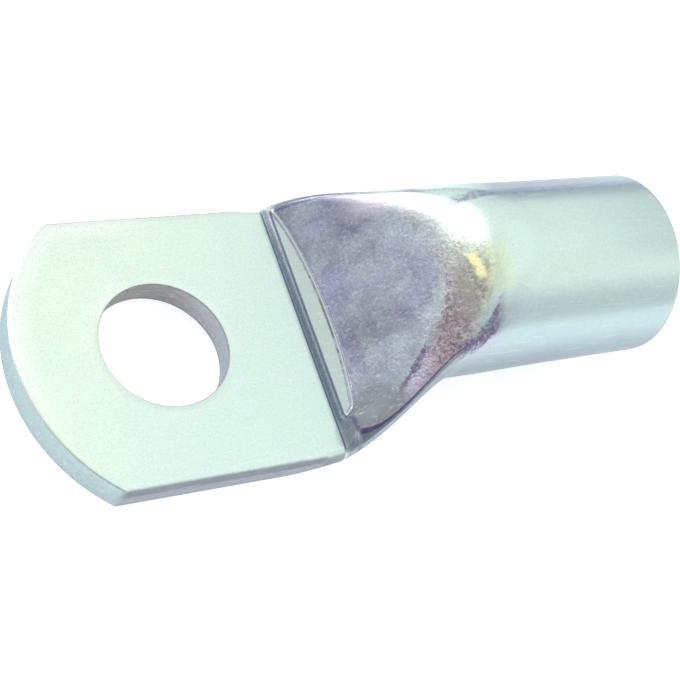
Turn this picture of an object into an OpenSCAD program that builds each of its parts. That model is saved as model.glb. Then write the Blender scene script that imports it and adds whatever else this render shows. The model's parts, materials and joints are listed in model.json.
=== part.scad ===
// Tubular cable lug, made from one length of round copper tube.
// One end of the tube stays round and takes the cable. The other end is pressed flat
// into the palm, trimmed to width and pierced for the terminal stud. A die presses the
// sloping ramp between them. X runs along the tube, Z is up, and the stud hole's axis
// meets the palm's underside at the origin. Sizes are in millimetres.

/* [Palm] */
// Width of the palm after its sides are trimmed
palm_w = 18.1; // [16:0.1:20]
// Thickness of the palm, which is the two tube walls pressed together
palm_t = 2.2; // [1.8:0.1:2.6]
// Length of the palm from the stud hole's axis to the tip
tip_reach = 9.6; // [8:0.2:12]
// Radius of the arc that ends the palm
tip_r = 11.6; // [11:0.2:16]
// Length of the palm from the stud hole's axis to the fold
fold_reach = 9.6; // [8:0.2:12]
// Bevel that the trimming punch leaves along the palm's top edges
edge_bevel = 0.2; // [0.05:0.05:0.4]

/* [Stud hole] */
// Diameter of the stud hole
stud_d = 8.4; // [5.4:0.1:10.5]
// How much wider than the punch the hole breaks out at the underside, on the radius
break_out = 0.15; // [0.05:0.05:0.3]
// Share of the thickness that breaks out, from the underside up
break_share = 0.4; // [0.2:0.05:0.6]

/* [Fold] */
// How far the pressed tube stands out past the palm's side at the fold
side_trim = 0.1; // [0.05:0.05:0.8]
// Radius that the trimming punch leaves before the fold
shoulder_r = 1.1; // [0.6:0.1:2]
// Length of palm over which its underside edges start to turn up
heel_l = 4.6; // [2:0.2:6]
// Height of the step that the die leaves at the fold
step_h = 0.75; // [0.3:0.05:1.2]
// Slope of the step's face, in degrees
step_angle = 62; // [50:1:70]

/* [Ramp] */
// Slope of the ramp between the palm and the barrel, in degrees
ramp_angle = 49; // [38:1:56]
// How far the ramp's middle is dished back at the fold
dish = 1.2; // [0:0.1:1.6]
// How far the ramp's ends come forward of its straight line at the fold
ramp_lead = 0.6; // [0:0.1:1]
// Depth of the rounded shoulder between the ramp and the barrel
shoulder_h = 2.4; // [1:0.1:3.5]
// Distance from the fold at which the sides are back to the barrel's width
flare_l = 7.8; // [6:0.2:10]
// Distance from the fold at which the underside is round
belly_l = 7; // [5:0.2:9]
// How much the pressing spreads the tube sideways, on each side, where it is widest
swell = 0.12; // [0:0.02:0.4]
// Distance from the fold at which the barrel is true again
swell_l = 17; // [15:0.5:20]

/* [Barrel] */
// Outside diameter of the barrel
barrel_d = 12.4; // [11:0.1:14]
// Diameter of the cable bore
bore_d = 10; // [8.4:0.1:10.8]
// Height of the barrel's underside above the palm's
barrel_lift = 0.5; // [0:0.1:1.5]
// Length from the stud hole's axis to the barrel's mouth
mouth_reach = 33.6; // [30:0.1:44]
// Chamfer around the bore at the mouth
mouth_chamfer = 0.35; // [0.1:0.05:0.5]
// Chamfer around the outside at the mouth
rim_chamfer = 0.15; // [0.05:0.05:0.4]

/* [Hidden] */
// Number of flats that stand for a full circle
$fn = 96;
// Half of the number of points around one section of the pressed tube
half_ring = 32;
// How far a cutter passes the metal, and half the step used to measure a slope
reach = 1;
tiny = 0.02;

barrel_r = barrel_d / 2;
bore_r = bore_d / 2;
wall = barrel_r - bore_r;
barrel_z = barrel_r + barrel_lift;
ramp_rise = barrel_lift + barrel_d - palm_t;
ramp_run = ramp_rise / tan(ramp_angle);
step_run = step_h / tan(step_angle);
// The flat above the step rises a little towards the ramp
flat_slope = 0.1;
// The shoulder has died out here, and the barrel is round
barrel_start = fold_reach + (ramp_rise + shoulder_h) / tan(ramp_angle);
swell_end = fold_reach + swell_l;
heel_start = fold_reach - heel_l;
// The pressed tube stands this much proud of the barrel, and dips into it over dip_l
proud = 0.03;
dip_l = 0.5;
dip_share = 0.9;

// Half widths of the flattened tube, before trimming and at the fold
palm_half = palm_w / 2;
edge_r = palm_t / 2;
spread_half = palm_half + edge_r;
fold_half = palm_half + side_trim;
// Section at the fold: the underside is flat inside the turned-up edges, the widest
// point lies at the level fold_mid, and a quarter ellipse would close it above
fold_flat = fold_half - edge_r;
fold_mid = 0.65 * palm_t;
fold_crown = 1.75 * palm_t;
// How fast the flat underside and the widest point leave their shape at the fold
flat_power = 1.5;
belly_power = 1.7;
ridge_share = 0.8;
// Rounding of the ridge along the ramp where it starts
ridge_h = 0.25;
// Shape of the dish across the ramp. Near one side its foot is pinched shut: from and
// over these shares of the half width, and up to this distance from the fold
dish_power = 0.7;
pinch_from = 0.68;
pinch_l = 0.12;
pinch_reach = 3;

// Height of the cavity where it closes, and how much narrower it is there
cavity_gap = 0.3;
cavity_narrowing = 1.4;
slot_power = 2.6;
// The pressed wall, thick enough to leave the cavity just inside the bore where they meet
lining = wall + 2 * proud;
ramp_lining = lining / cos(ramp_angle);
cavity_start = fold_reach + dish + (lining + ramp_lining + cavity_gap - palm_t) / tan(ramp_angle);

function clamp01(t) = min(1, max(0, t));
function mix(a, b, t) = a + (b - a) * t;
function ease(t) = t * t * (3 - 2 * t);

// The lower of two heights, blended where they are closer than k
function soft_min(a, b, k) = min(a, b) - pow(max(k - abs(a - b), 0), 2) / (4 * k);

// 0 where the palm is plain and 1 at the fold
function heel(x) = ease(clamp01((x - heel_start) / heel_l));
// 0 at the fold and 1 where the tube is round
function flare(x) = ease(clamp01((x - fold_reach) / flare_l));
function belly(x) = clamp01((x - fold_reach) / belly_l);

// Half width of the tube at x, without and with the sideways swell
function true_half(x) = x < fold_reach
    ? mix(spread_half, fold_half, heel(x))
    : mix(fold_half, barrel_r + proud, flare(x));
function half_width(x) = true_half(x) + swell * pow(sin(180 * clamp01((x - fold_reach) / swell_l)), 2);
// Half width of the flat underside at x
function flat_half(x) = x < fold_reach
    ? mix(palm_half, fold_flat, heel(x))
    : fold_flat * pow(1 - clamp01((x - fold_reach) / flare_l), flat_power);
// Height of the underside's lowest line at x
function lift(x) = (barrel_lift - proud) * flare(x);
// Height of the widest point above the underside at x, always below the ramp's ridge
function mid_height(x) = x < fold_reach
    ? mix(edge_r, fold_mid, heel(x))
    : min(mix(barrel_r + proud, fold_mid, pow(1 - belly(x), belly_power)), ridge_share * (die(x, 1) - lift(x)));
function mid_level(x) = lift(x) + mid_height(x);
// Height of the unpressed tube above its widest point at x
function crown(x) = mix(fold_crown, barrel_r + proud, flare(x));

// Underside and unpressed top at x, where e runs from -1 to 1 across the width
function turn_up(x, e) = clamp01((abs(e) * half_width(x) - flat_half(x)) / (half_width(x) - flat_half(x)));
function underside(x, e) = mid_level(x) - mid_height(x) * sqrt(1 - pow(turn_up(x, e), 2));
function crown_top(x, e) = mid_level(x) + crown(x) * sqrt(max(0, 1 - e * e));

// Height of the die at x and e
function step_rise(x) = (x - fold_reach) * tan(step_angle);
function step_flat(x) = step_h + flat_slope * (x - fold_reach - step_run);
function pinch(x, e) = ease(clamp01((-e - pinch_from) / pinch_l))
    * ease(clamp01(1 - (x - fold_reach) / pinch_reach));
function dish_share(x, e) = (1 - pinch(x, e)) * pow(max(0, 1 - e * e), dish_power);
function ramp_left(x) = clamp01(1 - (x - fold_reach) / ramp_run);
function dish_at(x, e) = ((dish + ramp_lead) * dish_share(x, e) - ramp_lead) * ramp_left(x);
function ramp_face(x, e) = (x - fold_reach - dish_at(x, e)) * tan(ramp_angle);
function die(x, e) = palm_t + max(0, min(step_rise(x), max(step_flat(x), ramp_face(x, e))));

// Top of the pressed tube at x and e
function blend(x) = mix(ridge_h, shoulder_h, ease(clamp01((x - fold_reach) / ramp_run)));
function top(x, e) = soft_min(crown_top(x, e), die(x, e), blend(x));

// One section of the outside as a ring of points, over the top and back underneath
function ring(x) = [for (i = [0 : 2 * half_ring - 1])
    let (over = i < half_ring && i > 0, e = cos(180 * i / half_ring))
    [x, half_width(x) * e, over ? top(x, e) : underside(x, e)]];

// The cavity is one wall thickness in at the middle of the roof, the floor and the
// sides, and its section goes from a slot with full corners to the round bore
function top_slope(x) = (top(x + tiny, 0) - top(x - tiny, 0)) / (2 * tiny);
function cavity_open(x) = clamp01((x - cavity_start) / (barrel_start - cavity_start));
function cavity_floor(x) = lift(x) + lining;
function cavity_roof(x) = top(x, 0) - lining * sqrt(1 + pow(top_slope(x), 2));
function cavity_mid(x) = (cavity_floor(x) + cavity_roof(x)) / 2;
function cavity_half(x) = true_half(x) - lining - cavity_narrowing * (1 - cavity_open(x));
function cavity_power(x) = mix(slot_power, 2, cavity_open(x));
function bulge(e, n) = pow(1 - pow(abs(e), n), 1 / n);
function cavity_ring(x) = [for (i = [0 : 2 * half_ring - 1])
    let (e = cos(180 * i / half_ring), edge = i < half_ring ? cavity_roof(x) : cavity_floor(x))
    [x, cavity_half(x) * e, mix(cavity_mid(x), edge, bulge(e, cavity_power(x)))]];

// Places of the sections, closest together at the fold
palm_stations = [for (i = [0 : 5]) heel_start + heel_l * i / 5];
near_pitch = 0.27;
near_count = 8;
near_stations = [for (i = [0 : near_count - 1]) fold_reach + step_run + i * near_pitch];
ramp_from = fold_reach + step_run + near_count * near_pitch;
ramp_stations = [for (i = [0 : 14]) mix(ramp_from, barrel_start, i / 14)];
swell_stations = [for (i = [1 : 4]) mix(barrel_start, swell_end, i / 4)];
cavity_stations = [for (i = [0 : 13]) mix(cavity_start, barrel_start + reach, i / 13)];

// Closed skin over rings that all have the same number of points
module skin(rings) {
    n = len(rings[0]);
    last = len(rings) - 1;
    sides = [for (r = [0 : last - 1], i = [0 : n - 1])
        let (a = r * n + i, b = r * n + (i + 1) % n)
        each [[a, a + n, b], [b, a + n, b + n]]];
    first_cap = [for (i = [0 : n - 1]) i];
    last_cap = [for (i = [n - 1 : -1 : 0]) last * n + i];
    polyhedron(points = [for (r = rings) each r], faces = concat(sides, [first_cap, last_cap]));
}

// Round bar along X at the barrel's level, tapered if r_end is given
module along_tube(from, to, r, r_end = 0) {
    translate([from, 0, barrel_z])
        rotate([0, 90, 0])
            cylinder(h = to - from, r1 = r, r2 = r_end > 0 ? r_end : r);
}

// The flattened end, the ramp and the swollen stretch behind it, up to the true barrel
module pressed_tube() {
    stations = concat([-tip_reach - reach], palm_stations, near_stations, ramp_stations, swell_stations);
    dipped = [for (p = ring(swell_end))
        [p.x + dip_l, p.y * dip_share, barrel_z + (p.z - barrel_z) * dip_share]];
    skin(concat([for (x = stations) ring(x)], [dipped]));
}

module barrel() {
    along_tube(barrel_start, mouth_reach - rim_chamfer, barrel_r);
    along_tube(mouth_reach - rim_chamfer, mouth_reach, barrel_r, barrel_r - rim_chamfer);
}

// The hollow under the ramp, which closes before the fold
module cavity() {
    skin([for (x = cavity_stations) cavity_ring(x)]);
}

module cable_bore() {
    along_tube(barrel_start, mouth_reach + reach, bore_r);
    along_tube(mouth_reach - mouth_chamfer, mouth_reach, bore_r, bore_r + mouth_chamfer);
}

// Outline that the punch leaves, with a small round where the palm widens to the fold
module palm_outline() {
    trim_end = fold_reach - shoulder_r;
    difference() {
        translate([-tip_reach, -palm_w])
            square([tip_reach + mouth_reach + reach, 2 * palm_w]);
        for (side = [-1, 1]) {
            translate([-tip_reach - reach, side > 0 ? palm_half : -palm_w - reach])
                square([tip_reach + reach + trim_end, palm_half + reach]);
            translate([trim_end, side * (palm_half + shoulder_r)])
                circle(shoulder_r);
        }
        difference() {
            translate([-tip_reach - reach, -palm_w])
                square([tip_reach + reach, 2 * palm_w]);
            translate([tip_r - tip_reach, 0])
                circle(tip_r);
        }
    }
}

// Bevel cutters for the palm's top edges, along both sides and round the tip
module top_bevels() {
    for (side = [-1, 1])
        translate([-tip_reach, side * palm_half, palm_t])
            rotate([45, 0, 0])
                translate([0, -edge_bevel / sqrt(2), -edge_bevel / sqrt(2)])
                    cube([tip_reach + fold_reach - shoulder_r, sqrt(2) * edge_bevel, sqrt(2) * edge_bevel]);
    intersection() {
        translate([tip_r - tip_reach, 0, palm_t - edge_bevel])
            difference() {
                cylinder(h = edge_bevel + reach, r = tip_r + reach);
                cylinder(h = edge_bevel, r1 = tip_r, r2 = tip_r - edge_bevel);
            }
        translate([-tip_reach - reach, -palm_half, 0])
            cube([tip_reach, palm_w, palm_t + reach]);
    }
}

// Straight where the punch cut, wider below where the metal broke out
module stud_hole() {
    translate([0, 0, -reach])
        cylinder(h = palm_t + 2 * reach, d = stud_d);
    cylinder(h = palm_t * break_share, r1 = stud_d / 2 + break_out, r2 = stud_d / 2);
}

module cable_lug() {
    color("#c9dbd3")
        difference() {
            intersection() {
                union() {
                    pressed_tube();
                    barrel();
                }
                translate([0, 0, -reach])
                    linear_extrude(barrel_z + barrel_r + 2 * reach)
                        palm_outline();
            }
            top_bevels();
            cavity();
            cable_bore();
            stud_hole();
        }
}

cable_lug();
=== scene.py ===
"""Tin-plated tubular cable lug: the pressed tube, its finish and a studio."""

import json
import math
from collections import namedtuple

import bmesh
import bpy
from bpy.props import FloatProperty, FloatVectorProperty, IntProperty, PointerProperty
from bpy.types import Operator, Panel, PropertyGroup
from mathutils import Euler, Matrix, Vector


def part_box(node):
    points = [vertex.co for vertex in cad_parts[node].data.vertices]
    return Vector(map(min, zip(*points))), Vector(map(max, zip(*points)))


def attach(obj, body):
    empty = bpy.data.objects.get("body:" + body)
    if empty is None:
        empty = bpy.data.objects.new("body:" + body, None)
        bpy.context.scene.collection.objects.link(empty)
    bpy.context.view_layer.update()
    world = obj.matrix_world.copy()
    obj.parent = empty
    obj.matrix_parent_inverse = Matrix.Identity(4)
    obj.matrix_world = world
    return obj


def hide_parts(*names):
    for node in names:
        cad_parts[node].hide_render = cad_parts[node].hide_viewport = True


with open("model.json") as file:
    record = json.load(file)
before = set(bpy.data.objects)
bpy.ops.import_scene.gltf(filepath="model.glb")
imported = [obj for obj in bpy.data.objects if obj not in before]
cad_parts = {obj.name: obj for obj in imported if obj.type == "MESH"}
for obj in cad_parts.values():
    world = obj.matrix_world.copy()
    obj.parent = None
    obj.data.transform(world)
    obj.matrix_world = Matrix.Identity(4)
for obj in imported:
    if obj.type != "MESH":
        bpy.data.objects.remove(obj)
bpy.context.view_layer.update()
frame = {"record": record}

bl_info = {
    "name": "Tubular cable lug",
    "version": (1, 0, 0),
    "blender": (4, 5, 0),
    "location": "3D View > Sidebar > Cable lug",
    "description": "Makes a cable lug, its tin-plated finish and a studio",
    "category": "Add Mesh",
}

MM = 0.001
NODE = "cable_lug"
NODE_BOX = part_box(NODE)
MOUNTS = {mount["name"]: mount for mount in frame["record"]["mounts"]}


# -------- sizes and colours


def length(label, description, default):
    return FloatProperty(
        name=label, description=description, default=default, unit="LENGTH", precision=5
    )


def angle(label, description, degrees):
    default = math.radians(degrees)
    return FloatProperty(name=label, description=description, default=default, subtype="ANGLE")


def colour(label, description, default):
    return FloatVectorProperty(
        name=label, description=description, default=default, subtype="COLOR", size=3, min=0, max=1
    )


def bore_radius(mount):
    return MOUNTS[mount]["dims"]["r_mm"] * MM


def mount_level(mount):
    return MOUNTS[mount]["pos_m"][2]


class LugSizes(PropertyGroup):
    """Sizes of the lug, read from the frame where it states them."""

    palm_w: length("Palm width", "Width of the trimmed palm", 18.1 * MM)
    palm_t: length("Palm thickness", "Two walls pressed together", mount_level("palm_top"))
    tip_reach: length("Tip reach", "From the stud hole to the tip", -NODE_BOX[0][0])
    tip_r: length("Tip radius", "Radius of the palm's end", 11.6 * MM)
    fold_reach: length("Fold reach", "From the stud hole to the fold", 9.6 * MM)
    stud_r: length("Stud hole radius", "Radius of the punched hole", bore_radius("stud_hole"))
    break_out: length("Break-out", "How much wider the hole is below", 0.15 * MM)
    roll_w: length("Edge roll width", "How far in from an edge the top rolls", 0.42 * MM)
    roll_h: length("Edge roll depth", "How far down the top rolls at an edge", 0.1 * MM)
    side_trim: length("Side trim", "How far the tube stands out", 0.1 * MM)
    shoulder_r: length("Punch radius", "Round that the punch leaves", 1.1 * MM)
    heel_l: length("Heel length", "Where the lower edges turn up", 4.6 * MM)
    step_h: length("Step height", "Step at the fold", 0.75 * MM)
    step_angle: angle("Step angle", "Slope of the step's face", 62)
    ledge_w: length("Ledge width", "Ledge along the ramp's foot", 0.22 * MM)
    ledge_h: length("Ledge height", "Height of the ledge over the flat", 0.08 * MM)
    ramp_angle: angle("Ramp angle", "Slope of the ramp", 49)
    dish: length("Dish", "How far the ramp is dished back", 1.2 * MM)
    ramp_lead: length("Ramp lead", "How far its ends come forward", 0.6 * MM)
    shoulder_h: length("Shoulder depth", "Round between ramp and barrel", 3.2 * MM)
    flare_l: length("Flare length", "From the fold to the barrel's width", 7.8 * MM)
    belly_l: length("Belly length", "From the fold to a round underside", 7 * MM)
    swell: length("Swell", "How much pressing spreads the tube", 0.12 * MM)
    swell_l: length("Swell length", "From the fold to where the barrel is true", 17 * MM)
    barrel_r: length("Barrel radius", "Outside radius of the barrel", 6.2 * MM)
    bore_r: length("Bore radius", "Radius of the cable bore", bore_radius("cable_bore"))
    barrel_z: length("Barrel level", "Height of the barrel's axis", mount_level("cable_bore"))
    mouth_reach: length("Mouth reach", "From the stud hole to the mouth", NODE_BOX[1][0])
    rim_r: length("Rim round", "Round at the mouth's outer edge", 0.18 * MM)
    mouth_chamfer: length("Mouth chamfer", "Chamfer round the bore", 0.35 * MM)
    lanes: IntProperty(name="Lanes", description="Faces across the top", default=128, min=32)


class FinishColours(PropertyGroup):
    """Colours of the plated surface and of the studio, some of them painted shade, highlights and
    reflections.
    """

    tin: colour("Tin", "Clean plating", (0.79, 0.94, 0.79))
    # Bluer patches, and the cooler colour of the painted shade towards the fold
    tin_cool: colour("Cool tin", "Bluer patches of the plating", (0.67, 0.84, 0.77))
    # Painted shade, laid low on the barrel, underneath and towards the mouth
    under: colour("Lower side", "Duller plating low on the barrel", (0.46, 0.58, 0.59))
    # Painted shade, laid on the tube's lower sides, on the barrel's far side and below the near
    # ridge
    shade: colour("Underside", "Dull plating on the undersides", (0.33, 0.38, 0.42))
    # Painted shade: the crescent flat darker than the plating
    crescent: colour("Crescent", "Flat between the step and the ramp", (0.50, 0.60, 0.56))
    # Burnished by the die, and darker than the plating elsewhere as painted shade
    ramp: colour("Ramp", "Plating burnished by the die", (0.56, 0.61, 0.64))
    ramp_violet: colour("Ramp violet", "Patches on the ramp", (0.49, 0.49, 0.61))
    # Painted light: the ramp paler towards its top
    ramp_pale: colour("Ramp pale", "Paler plating where the ramp ends", (0.70, 0.78, 0.65))
    brown: colour("Tarnish", "Brown specks on the shoulder", (0.20, 0.16, 0.14))
    moss: colour("Pale tarnish", "Green between the brown specks", (0.50, 0.52, 0.42))
    # Painted highlight: yellow, laid along the shoulder
    gold_highlight: colour("Gold", "Yellow stain on the shoulder", (1.0, 0.98, 0.55))
    scuff: colour("Scuff", "Scuffs along the near ridge", (0.62, 0.47, 0.56))
    # Painted shade: dark lines along the near ridge, beside the scuffs
    ridge_shade_line: colour("Scuff line", "Dark lines beside the scuffs", (0.16, 0.10, 0.22))
    # Painted shade for the dark lines in the fold, at the ramp's foot, along the far ridge and on
    # the near side's punched edge; the dots along the barrel use it too
    fold: colour("Fold line", "Dark lines in the fold", (0.24, 0.26, 0.38))
    # Painted shade on the step's face
    step_face_shade: colour("Fold face", "Step at the fold", (0.66, 0.72, 0.72))
    bloom: colour("Bloom", "Patch beside the shoulder", (0.76, 0.88, 0.55))
    scratch: colour("Scratch", "Fine scratches", (0.95, 0.98, 1.0))
    cream: colour("Cream", "Strip along the ramp's foot", (0.56, 0.58, 0.42))
    cut: colour("Cut edge", "Punched edges", (0.40, 0.42, 0.45))
    cut_dark: colour("Burnished edge", "Upper part of the punched edges", (0.26, 0.27, 0.30))
    # Painted light: the tip's cut face lighter than the side faces
    tip: colour("Tip", "Cut face at the tip", (0.44, 0.55, 0.56))
    # Painted shade: the hole's wall, darker towards the tip
    hole: colour("Hole wall", "Wall of the stud hole", (0.30, 0.29, 0.29))


# -------- the lug's form


def clamp01(t):
    return min(1.0, max(0.0, t))


def mix(a, b, t):
    return a + (b - a) * t


def ease(t):
    return t * t * (3 - 2 * t)


def soft_min(a, b, k):
    """The lower of two heights, blended where they are closer than k."""
    return min(a, b) - max(k - abs(a - b), 0) ** 2 / (4 * k)


def soft_max(a, b, k):
    return -soft_min(-a, -b, k)


# One line of points along the tube: the sheet it runs on, its place across that sheet from
# -1 to 1 (or down a side from 0 to 1), and its angle round the barrel.
Lane = namedtuple("Lane", "sheet across turn side")

# Where the top sheet ends on the barrel, as an angle up from its widest point
SHEET_EDGE = math.radians(10)
SIDE_STEPS = 9
EDGE_STEPS = (0, 0.03, 0.08, 0.15, 0.25, 0.4)


class LugForm:
    """Widths and heights of the pressed tube, in metres, worked out from the sizes."""

    # Section at the fold, as shares of the palm's thickness
    FOLD_MID = 0.65
    FOLD_CROWN = 1.25
    # How fast the flat underside and the widest point leave their shape at the fold
    FLAT_POWER = 1.5
    BELLY_POWER = 1.7
    RIDGE_SHARE = 0.8
    RIDGE_H = 0.25 * MM
    DISH_POWER = 0.7
    # Near one side the dish is pinched shut: from and over these shares of the half width,
    # and up to this distance from the fold
    PINCH_FROM = 0.68
    PINCH_L = 0.12
    PINCH_REACH = 3 * MM
    # The flat above the step rises a little towards the ramp
    FLAT_SLOPE = 0.1
    CREASE = 0.08 * MM
    CAVITY_GAP = 0.3 * MM
    CAVITY_NARROWING = 1.4 * MM
    SLOT_POWER = 2.6
    # Width of the closed end of the cavity, as a share of its width just before it
    SLOT_SHARE = 0.96
    # Rows forward of this bend with the arc of the tip
    SQUARE_X = -5.0 * MM
    # The square of faces over the stud hole stays within this share of its radius
    BLOCK_SHARE = 0.93
    # How far the palm's faces stand back from the hole's wall, above and below
    HOLE_ROLL = 0.08 * MM
    HOLE_BREAK = 0.03 * MM
    # Seam between the two walls, and the broken lower edge, in shares down a cut face
    SEAM_DEPTH = 0.03 * MM
    SEAM_AT = 0.56
    SEAM_W = 0.06
    BREAK_DEPTH = 0.05 * MM
    BREAK_FROM = 0.8
    BREAK_L = 0.2
    # Half the distance over which the ramp's slope is measured
    SLOPE_STEP = 0.02 * MM

    def __init__(self, sizes):
        self.s = sizes
        self.fold = sizes.fold_reach
        self.palm_half = sizes.palm_w / 2
        self.hole_top_r = sizes.stud_r + self.HOLE_ROLL
        self.hole_low_r = sizes.stud_r + sizes.break_out + self.HOLE_BREAK
        self.edge_r = sizes.palm_t / 2
        self.spread_half = self.palm_half + self.edge_r
        self.fold_half = self.palm_half + sizes.side_trim
        self.fold_flat = self.fold_half - self.edge_r
        self.tip_centre = sizes.tip_r - sizes.tip_reach
        self.trim_end = self.fold - sizes.shoulder_r
        self.heel_start = self.fold - sizes.heel_l
        self.barrel_lift = sizes.barrel_z - sizes.barrel_r
        self.ramp_rise = self.barrel_lift + 2 * sizes.barrel_r - sizes.palm_t
        self.ramp_slope = math.tan(sizes.ramp_angle)
        self.step_slope = math.tan(sizes.step_angle)
        self.ramp_run = self.ramp_rise / self.ramp_slope
        self.step_run = sizes.step_h / self.step_slope
        shoulder_run = (self.ramp_rise + sizes.shoulder_h) / self.ramp_slope
        self.barrel_start = self.fold + shoulder_run
        self.wall = sizes.barrel_r - sizes.bore_r
        ramp_wall = self.wall / math.cos(sizes.ramp_angle)
        gap = self.wall + ramp_wall + self.CAVITY_GAP - sizes.palm_t
        self.cavity_start = self.fold + sizes.dish + gap / self.ramp_slope
        self.lanes = lug_lanes(self)
        # The square of faces that gives way to the stud hole ends on a lane
        places = [self.palm_half * lane.across for lane in self.lanes if lane.sheet == "top"]
        self.block = max(y for y in places if y < self.BLOCK_SHARE * sizes.stud_r)

    # Shares along the tube

    def heel(self, x):
        """0 where the palm is plain and 1 at the fold."""
        return ease(clamp01((x - self.heel_start) / self.s.heel_l))

    def past(self, x, distance):
        """0 up to the fold and 1 from a distance beyond it."""
        return clamp01((x - self.fold) / distance)

    def flare(self, x):
        """0 at the fold and 1 where the tube is round."""
        return ease(self.past(x, self.s.flare_l))

    def ramp_share(self, x):
        return self.past(x, self.ramp_run)

    # The tube's own section

    def half_width(self, x):
        if x < self.fold:
            return mix(self.spread_half, self.fold_half, self.heel(x))
        swell = self.s.swell * math.sin(math.pi * self.past(x, self.s.swell_l)) ** 2
        return mix(self.fold_half, self.s.barrel_r, self.flare(x)) + swell

    def flat_half(self, x):
        """Half width of the flat underside."""
        if x < self.fold:
            return mix(self.palm_half, self.fold_flat, self.heel(x))
        return self.fold_flat * (1 - self.past(x, self.s.flare_l)) ** self.FLAT_POWER

    def lift(self, x):
        return self.barrel_lift * self.flare(x)

    def mid_height(self, x):
        """Height of the widest point above the underside, always below the ramp's ridge."""
        fold_mid = self.FOLD_MID * self.s.palm_t
        if x < self.fold:
            return mix(self.edge_r, fold_mid, self.heel(x))
        left = (1 - self.past(x, self.s.belly_l)) ** self.BELLY_POWER
        free = mix(self.s.barrel_r, fold_mid, left)
        return min(free, self.RIDGE_SHARE * (self.die(x, 1) - self.lift(x)))

    def mid_level(self, x):
        return self.lift(x) + self.mid_height(x)

    def underside(self, x, e):
        half, flat = self.half_width(x), self.flat_half(x)
        turn_up = clamp01((abs(e) * half - flat) / (half - flat))
        return self.mid_level(x) - self.mid_height(x) * math.sqrt(1 - turn_up**2)

    def crown_top(self, x, e):
        """Top of the tube before the die meets it."""
        crown = mix(self.FOLD_CROWN * self.s.palm_t, self.s.barrel_r, self.flare(x))
        return self.mid_level(x) + crown * math.sqrt(max(0.0, 1 - e * e))

    # The die

    def step_rise(self, x):
        return (x - self.fold) * self.step_slope

    def step_flat(self, x):
        return self.s.step_h + self.FLAT_SLOPE * (x - self.fold - self.step_run)

    def dish_share(self, x, e):
        pinch = ease(clamp01((-e - self.PINCH_FROM) / self.PINCH_L))
        pinch *= ease(1 - self.past(x, self.PINCH_REACH))
        return (1 - pinch) * max(0.0, 1 - e * e) ** self.DISH_POWER

    def ramp_face(self, x, e):
        dish = (self.s.dish + self.s.ramp_lead) * self.dish_share(x, e) - self.s.ramp_lead
        return (x - self.fold - dish * (1 - self.ramp_share(x))) * self.ramp_slope

    def ledge_face(self, x, e):
        """A narrow ledge that runs along the foot of the ramp."""
        rise = self.ramp_face(x, e) - self.step_flat(x) + self.s.ledge_w * self.ramp_slope
        return self.step_flat(x) + min(2 * rise, self.s.ledge_h)

    def beyond_step(self, x, e):
        pressed = soft_max(self.step_flat(x), self.ledge_face(x, e), self.CREASE / 2)
        return soft_max(pressed, self.ramp_face(x, e), self.CREASE)

    def die(self, x, e):
        rise = soft_min(self.step_rise(x), self.beyond_step(x, e), self.CREASE)
        return self.s.palm_t + max(0.0, rise)

    def ridge_gap(self, x, e):
        """How far the die stays below the tube: positive on the ramp, negative beside it."""
        return self.crown_top(x, e) - self.die(x, e)

    def top(self, x, e):
        blend = mix(self.RIDGE_H, self.s.shoulder_h, ease(self.ramp_share(x)))
        return soft_min(self.crown_top(x, e), self.die(x, e), blend)

    # The palm, with its punched edges

    def cut_half(self, x):
        """Half width of the outline that the punch leaves."""
        past = clamp01((x - self.trim_end) / self.s.shoulder_r) * self.s.shoulder_r
        return self.palm_half + self.s.shoulder_r - math.sqrt(self.s.shoulder_r**2 - past**2)

    def tip_x(self, y):
        return self.tip_centre - math.sqrt(self.s.tip_r**2 - y * y)

    def row_x(self, x, y):
        """Place of a row's point at y, where rows near the tip bend with its arc."""
        if x >= self.SQUARE_X:
            return x
        share = (self.SQUARE_X - x) / (self.SQUARE_X + self.s.tip_reach)
        return mix(self.SQUARE_X, self.tip_x(y), share)

    def edge_distance(self, x, y):
        """Distance to the nearest punched edge."""
        side = self.cut_half(x) - abs(y)
        tip = self.s.tip_r - math.hypot(x - self.tip_centre, y) if x < self.tip_centre else side
        hole = math.hypot(x, y) - self.s.stud_r
        return max(0.0, min(side, tip, hole))

    def palm_top(self, x, y):
        roll = self.s.roll_h * max(0.0, 1 - self.edge_distance(x, y) / self.s.roll_w) ** 2
        e = min(1.0, abs(y) / self.half_width(x))
        return min(self.s.palm_t - roll, self.top(x, e))

    def cut_relief(self, share):
        """How far a cut face stands back, at a share of the way down it."""
        seam = self.SEAM_DEPTH * math.exp(-(((share - self.SEAM_AT) / self.SEAM_W) ** 2))
        broken = self.BREAK_DEPTH * max(0.0, (share - self.BREAK_FROM) / self.BREAK_L) ** 2
        return seam + broken

    def palm_point(self, x_row, lane):
        across = 1 if lane.sheet == "side" else lane.across
        x = self.row_x(x_row, self.palm_half * across)
        half, cut = self.half_width(x_row), self.cut_half(x_row)
        top_half, low_half = min(cut, half * math.cos(SHEET_EDGE)), min(cut, half)
        if lane.sheet == "top":
            y = top_half * lane.across
            x, y = self.round_the_hole(x, y, self.hole_top_r)
            return Vector((x, y, self.palm_top(x, y)))
        if lane.sheet == "bottom":
            y = low_half * lane.across
            z = self.underside(max(x, x_row), min(1.0, abs(y) / half))
            x, y = self.round_the_hole(x, y, self.hole_low_r)
            return Vector((x, y, z))
        z_high = self.palm_top(x, top_half)
        z_low = self.underside(x_row, low_half / half)
        z = mix(z_high, z_low, lane.across)
        crown = self.FOLD_CROWN * self.s.palm_t
        above = max(0.0, z - self.mid_level(x_row)) / crown
        relief = self.cut_relief(lane.across) * (x_row < self.trim_end)
        y = min(cut - relief, half * math.sqrt(1 - above**2))
        return Vector((x, lane.side * y, z))

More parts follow.
